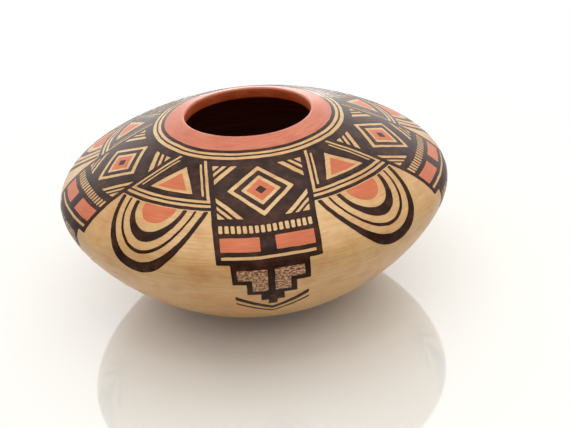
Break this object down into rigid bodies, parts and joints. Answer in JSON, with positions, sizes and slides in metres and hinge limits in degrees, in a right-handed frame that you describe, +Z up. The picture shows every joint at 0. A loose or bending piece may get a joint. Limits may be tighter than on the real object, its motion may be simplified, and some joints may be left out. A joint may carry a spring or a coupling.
{
  "type": "pottery jar",
  "caption": "Wide lens-shaped earthenware seed jar with an incurving shoulder, a small round mouth and a flat resting base, for storing and display.",
  "frame": {"origin": "centre of the flat face that the jar stands on", "axes": "+Z up along the jar's axis of revolution, towards the mouth; X and Y level"},
  "size_m": [0.24, 0.24, 0.1165],
  "materials": {
    "fired_clay": "stone-polished, satin, warm buff",
    "red_slip": "brushed iron-red slip, polished",
    "black_paint": "brushed brown-black mineral paint, burnished"
  },
  "bodies": {
    "root": {"moulded_base": "fired_clay", "wall_coil_01": "fired_clay", "wall_coil_02": "fired_clay", "wall_coil_03": "fired_clay", "wall_coil_04": "fired_clay", "wall_coil_05": "fired_clay", "wall_coil_06": "fired_clay", "wall_coil_07": "fired_clay", "wall_coil_08": "fired_clay", "wall_coil_09": "fired_clay", "wall_coil_10": "fired_clay", "rim_coil": "red_slip"}
  },
  "joints": []
}
